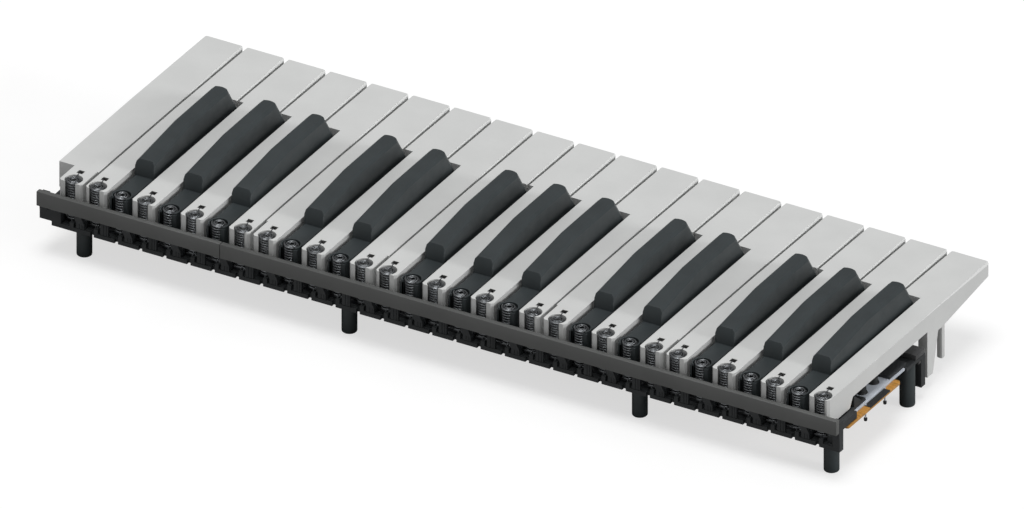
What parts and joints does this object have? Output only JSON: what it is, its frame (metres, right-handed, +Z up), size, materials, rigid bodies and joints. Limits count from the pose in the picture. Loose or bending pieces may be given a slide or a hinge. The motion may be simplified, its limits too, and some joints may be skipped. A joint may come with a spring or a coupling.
{
  "type": "keybed",
  "caption": "Spring-action musical keybed: full-size natural and sharp keys that tip on a ridge of a moulded frame, with rubber contact strips, a circuit board and a rear bar.",
  "frame": {"origin": "on the plane under the feet, at the middle of the keybed's length and depth", "axes": "+X from the bass end to the treble end, +Y from the player towards the rear bar, +Z up"},
  "size_m": [0.4538, 0.1638, 0.0536],
  "materials": {
    "natural_plastic": "moulded white key plastic, smooth with a soft shine",
    "sharp_plastic": "moulded charcoal key plastic with a fine matt grain",
    "chassis_plastic": "moulded black glass-filled plastic, dull",
    "bar_metal": "dark grey painted steel strip",
    "spring_wire": "drawn spring steel wire, dark and oiled",
    "silicone_rubber": "light blue-grey silicone rubber, dull",
    "board_laminate": "tan phenolic paper circuit board with a lacquered face",
    "felt": "dense dark grey felt",
    "connector_plastic": "moulded black connector plastic",
    "screw_metal": "zinc plated steel",
    "foot_plastic": "dark slate plastic stand-off"
  },
  "bodies": {
    "frame": {"springs_bass": "spring_wire", "contact_strip_bass": "silicone_rubber", "springs_middle": "spring_wire", "contact_strip_middle": "silicone_rubber", "springs_treble": "spring_wire", "contact_strip_treble": "silicone_rubber", "chassis": "chassis_plastic", "rear_bar_treble": "bar_metal", "rear_bar_bass": "bar_metal", "circuit_board": "board_laminate", "down_stop_felt": "felt", "up_stop_felt": "felt", "ribbon_connector": "connector_plastic", "board_screw_1": "screw_metal", "board_screw_2": "screw_metal", "board_screw_3": "screw_metal", "board_screw_4": "screw_metal", "board_screw_5": "screw_metal", "rear_foot_1": "foot_plastic", "front_foot_1": "foot_plastic", "rear_foot_2": "foot_plastic", "front_foot_2": "foot_plastic", "rear_foot_3": "foot_plastic", "front_foot_3": "foot_plastic", "rear_foot_4": "foot_plastic", "front_foot_4": "foot_plastic"},
    "white_f3": {"white_key_f3": "natural_plastic"},
    "black_fs3": {"black_key_fs3": "sharp_plastic"},
    "white_g3": {"white_key_g3": "natural_plastic"},
    "black_gs3": {"black_key_gs3": "sharp_plastic"},
    "white_a3": {"white_key_a3": "natural_plastic"},
    "black_as3": {"black_key_as3": "sharp_plastic"},
    "white_b3": {"white_key_b3": "natural_plastic"},
    "white_c4": {"white_key_c4": "natural_plastic"},
    "black_cs4": {"black_key_cs4": "sharp_plastic"},
    "white_d4": {"white_key_d4": "natural_plastic"},
    "black_ds4": {"black_key_ds4": "sharp_plastic"},
    "white_e4": {"white_key_e4": "natural_plastic"},
    "white_f4": {"white_key_f4": "natural_plastic"},
    "black_fs4": {"black_key_fs4": "sharp_plastic"},
    "white_g4": {"white_key_g4": "natural_plastic"},
    "black_gs4": {"black_key_gs4": "sharp_plastic"},
    "white_a4": {"white_key_a4": "natural_plastic"},
    "black_as4": {"black_key_as4": "sharp_plastic"},
    "white_b4": {"white_key_b4": "natural_plastic"},
    "white_c5": {"white_key_c5": "natural_plastic"},
    "black_cs5": {"black_key_cs5": "sharp_plastic"},
    "white_d5": {"white_key_d5": "natural_plastic"},
    "black_ds5": {"black_key_ds5": "sharp_plastic"},
    "white_e5": {"white_key_e5": "natural_plastic"},
    "white_f5": {"white_key_f5": "natural_plastic"},
    "black_fs5": {"black_key_fs5": "sharp_plastic"},
    "white_g5": {"white_key_g5": "natural_plastic"},
    "black_gs5": {"black_key_gs5": "sharp_plastic"},
    "white_a5": {"white_key_a5": "natural_plastic"},
    "black_as5": {"black_key_as5": "sharp_plastic"},
    "white_b5": {"white_key_b5": "natural_plastic"},
    "white_c6": {"white_key_c6": "natural_plastic"}
  },
  "joints": [
    {"name": "press_f3", "type": "hinge", "parent": "frame", "child": "white_f3", "pos_m": [-0.21411, 0.05227, 0.0327], "axis": [1, 0, 0], "range_deg": [0, 4.2], "stiffness_Nm_per_rad": 0.3, "springref_deg": -11.46, "deforming": ["springs_bass", "contact_strip_bass"]},
    {"name": "press_fs3", "type": "hinge", "parent": "frame", "child": "black_fs3", "pos_m": [-0.2004, 0.05227, 0.0327], "axis": [1, 0, 0], "range_deg": [0, 4.2], "stiffness_Nm_per_rad": 0.3, "springref_deg": -11.46, "deforming": ["springs_bass", "contact_strip_bass"]},
    {"name": "press_g3", "type": "hinge", "parent": "frame", "child": "white_g3", "pos_m": [-0.18669, 0.05227, 0.0327], "axis": [1, 0, 0], "range_deg": [0, 4.2], "stiffness_Nm_per_rad": 0.3, "springref_deg": -11.46, "deforming": ["springs_bass", "contact_strip_bass"]},
    {"name": "press_gs3", "type": "hinge", "parent": "frame", "child": "black_gs3", "pos_m": [-0.17298, 0.05227, 0.0327], "axis": [1, 0, 0], "range_deg": [0, 4.2], "stiffness_Nm_per_rad": 0.3, "springref_deg": -11.46, "deforming": ["springs_bass", "contact_strip_bass"]},
    {"name": "press_a3", "type": "hinge", "parent": "frame", "child": "white_a3", "pos_m": [-0.15927, 0.05227, 0.0327], "axis": [1, 0, 0], "range_deg": [0, 4.2], "stiffness_Nm_per_rad": 0.3, "springref_deg": -11.46, "deforming": ["springs_bass", "contact_strip_bass"]},
    {"name": "press_as3", "type": "hinge", "parent": "frame", "child": "black_as3", "pos_m": [-0.14557, 0.05227, 0.0327], "axis": [1, 0, 0], "range_deg": [0, 4.2], "stiffness_Nm_per_rad": 0.3, "springref_deg": -11.46, "deforming": ["springs_bass", "contact_strip_bass"]},
    {"name": "press_b3", "type": "hinge", "parent": "frame", "child": "white_b3", "pos_m": [-0.13186, 0.05227, 0.0327], "axis": [1, 0, 0], "range_deg": [0, 4.2], "stiffness_Nm_per_rad": 0.3, "springref_deg": -11.46, "deforming": ["springs_bass", "contact_strip_bass"]},
    {"name": "press_c4", "type": "hinge", "parent": "frame", "child": "white_c4", "pos_m": [-0.11815, 0.05227, 0.0327], "axis": [1, 0, 0], "range_deg": [0, 4.2], "stiffness_Nm_per_rad": 0.3, "springref_deg": -11.46, "deforming": ["springs_bass", "contact_strip_bass"]},
    {"name": "press_cs4", "type": "hinge", "parent": "frame", "child": "black_cs4", "pos_m": [-0.10444, 0.05227, 0.0327], "axis": [1, 0, 0], "range_deg": [0, 4.2], "stiffness_Nm_per_rad": 0.3, "springref_deg": -11.46, "deforming": ["springs_bass", "contact_strip_bass"]},
    {"name": "press_d4", "type": "hinge", "parent": "frame", "child": "white_d4", "pos_m": [-0.09073, 0.05227, 0.0327], "axis": [1, 0, 0], "range_deg": [0, 4.2], "stiffness_Nm_per_rad": 0.3, "springref_deg": -11.46, "deforming": ["springs_bass", "contact_strip_bass"]},
    {"name": "press_ds4", "type": "hinge", "parent": "frame", "child": "black_ds4", "pos_m": [-0.07703, 0.05227, 0.0327], "axis": [1, 0, 0], "range_deg": [0, 4.2], "stiffness_Nm_per_rad": 0.3, "springref_deg": -11.46, "deforming": ["springs_bass", "contact_strip_bass"]},
    {"name": "press_e4", "type": "hinge", "parent": "frame", "child": "white_e4", "pos_m": [-0.06332, 0.05227, 0.0327], "axis": [1, 0, 0], "range_deg": [0, 4.2], "stiffness_Nm_per_rad": 0.3, "springref_deg": -11.46, "deforming": ["springs_bass", "contact_strip_bass"]},
    {"name": "press_f4", "type": "hinge", "parent": "frame", "child": "white_f4", "pos_m": [-0.04961, 0.05227, 0.0327], "axis": [1, 0, 0], "range_deg": [0, 4.2], "stiffness_Nm_per_rad": 0.3, "springref_deg": -11.46, "deforming": ["springs_middle", "contact_strip_middle"]},
    {"name": "press_fs4", "type": "hinge", "parent": "frame", "child": "black_fs4", "pos_m": [-0.0359, 0.05227, 0.0327], "axis": [1, 0, 0], "range_deg": [0, 4.2], "stiffness_Nm_per_rad": 0.3, "springref_deg": -11.46, "deforming": ["springs_middle", "contact_strip_middle"]},
    {"name": "press_g4", "type": "hinge", "parent": "frame", "child": "white_g4", "pos_m": [-0.02219, 0.05227, 0.0327], "axis": [1, 0, 0], "range_deg": [0, 4.2], "stiffness_Nm_per_rad": 0.3, "springref_deg": -11.46, "deforming": ["springs_middle", "contact_strip_middle"]},
    {"name": "press_gs4", "type": "hinge", "parent": "frame", "child": "black_gs4", "pos_m": [-0.00848, 0.05227, 0.0327], "axis": [1, 0, 0], "range_deg": [0, 4.2], "stiffness_Nm_per_rad": 0.3, "springref_deg": -11.46, "deforming": ["springs_middle", "contact_strip_middle"]},
    {"name": "press_a4", "type": "hinge", "parent": "frame", "child": "white_a4", "pos_m": [0.00522, 0.05227, 0.0327], "axis": [1, 0, 0], "range_deg": [0, 4.2], "stiffness_Nm_per_rad": 0.3, "springref_deg": -11.46, "deforming": ["springs_middle", "contact_strip_middle"]},
    {"name": "press_as4", "type": "hinge", "parent": "frame", "child": "black_as4", "pos_m": [0.01893, 0.05227, 0.0327], "axis": [1, 0, 0], "range_deg": [0, 4.2], "stiffness_Nm_per_rad": 0.3, "springref_deg": -11.46, "deforming": ["springs_middle", "contact_strip_middle"]},
    {"name": "press_b4", "type": "hinge", "parent": "frame", "child": "white_b4", "pos_m": [0.03264, 0.05227, 0.0327], "axis": [1, 0, 0], "range_deg": [0, 4.2], "stiffness_Nm_per_rad": 0.3, "springref_deg": -11.46, "deforming": ["springs_middle", "contact_strip_middle"]},
    {"name": "press_c5", "type": "hinge", "parent": "frame", "child": "white_c5", "pos_m": [0.04635, 0.05227, 0.0327], "axis": [1, 0, 0], "range_deg": [0, 4.2], "stiffness_Nm_per_rad": 0.3, "springref_deg": -11.46, "deforming": ["springs_middle", "contact_strip_middle"]},
    {"name": "press_cs5", "type": "hinge", "parent": "frame", "child": "black_cs5", "pos_m": [0.06006, 0.05227, 0.0327], "axis": [1, 0, 0], "range_deg": [0, 4.2], "stiffness_Nm_per_rad": 0.3, "springref_deg": -11.46, "deforming": ["springs_middle", "contact_strip_middle"]},
    {"name": "press_d5", "type": "hinge", "parent": "frame", "child": "white_d5", "pos_m": [0.07377, 0.05227, 0.0327], "axis": [1, 0, 0], "range_deg": [0, 4.2], "stiffness_Nm_per_rad": 0.3, "springref_deg": -11.46, "deforming": ["springs_middle", "contact_strip_middle"]},
    {"name": "press_ds5", "type": "hinge", "parent": "frame", "child": "black_ds5", "pos_m": [0.08747, 0.05227, 0.0327], "axis": [1, 0, 0], "range_deg": [0, 4.2], "stiffness_Nm_per_rad": 0.3, "springref_deg": -11.46, "deforming": ["springs_middle", "contact_strip_middle"]},
    {"name": "press_e5", "type": "hinge", "parent": "frame", "child": "white_e5", "pos_m": [0.10118, 0.05227, 0.0327], "axis": [1, 0, 0], "range_deg": [0, 4.2], "stiffness_Nm_per_rad": 0.3, "springref_deg": -11.46, "deforming": ["springs_middle", "contact_strip_middle"]},
    {"name": "press_f5", "type": "hinge", "parent": "frame", "child": "white_f5", "pos_m": [0.11489, 0.05227, 0.0327], "axis": [1, 0, 0], "range_deg": [0, 4.2], "stiffness_Nm_per_rad": 0.3, "springref_deg": -11.46, "deforming": ["springs_treble", "contact_strip_treble"]},
    {"name": "press_fs5", "type": "hinge", "parent": "frame", "child": "black_fs5", "pos_m": [0.1286, 0.05227, 0.0327], "axis": [1, 0, 0], "range_deg": [0, 4.2], "stiffness_Nm_per_rad": 0.3, "springref_deg": -11.46, "deforming": ["springs_treble", "contact_strip_treble"]},
    {"name": "press_g5", "type": "hinge", "parent": "frame", "child": "white_g5", "pos_m": [0.14231, 0.05227, 0.0327], "axis": [1, 0, 0], "range_deg": [0, 4.2], "stiffness_Nm_per_rad": 0.3, "springref_deg": -11.46, "deforming": ["springs_treble", "contact_strip_treble"]},
    {"name": "press_gs5", "type": "hinge", "parent": "frame", "child": "black_gs5", "pos_m": [0.15602, 0.05227, 0.0327], "axis": [1, 0, 0], "range_deg": [0, 4.2], "stiffness_Nm_per_rad": 0.3, "springref_deg": -11.46, "deforming": ["springs_treble", "contact_strip_treble"]},
    {"name": "press_a5", "type": "hinge", "parent": "frame", "child": "white_a5", "pos_m": [0.16972, 0.05227, 0.0327], "axis": [1, 0, 0], "range_deg": [0, 4.2], "stiffness_Nm_per_rad": 0.3, "springref_deg": -11.46, "deforming": ["springs_treble", "contact_strip_treble"]},
    {"name": "press_as5", "type": "hinge", "parent": "frame", "child": "black_as5", "pos_m": [0.18343, 0.05227, 0.0327], "axis": [1, 0, 0], "range_deg": [0, 4.2], "stiffness_Nm_per_rad": 0.3, "springref_deg": -11.46, "deforming": ["springs_treble", "contact_strip_treble"]},
    {"name": "press_b5", "type": "hinge", "parent": "frame", "child": "white_b5", "pos_m": [0.19714, 0.05227, 0.0327], "axis": [1, 0, 0], "range_deg": [0, 4.2], "stiffness_Nm_per_rad": 0.3, "springref_deg": -11.46, "deforming": ["springs_treble", "contact_strip_treble"]},
    {"name": "press_c6", "type": "hinge", "parent": "frame", "child": "white_c6", "pos_m": [0.21085, 0.05227, 0.0327], "axis": [1, 0, 0], "range_deg": [0, 4.2], "stiffness_Nm_per_rad": 0.3, "springref_deg": -11.46, "deforming": ["springs_treble", "contact_strip_treble"]}
  ]
}
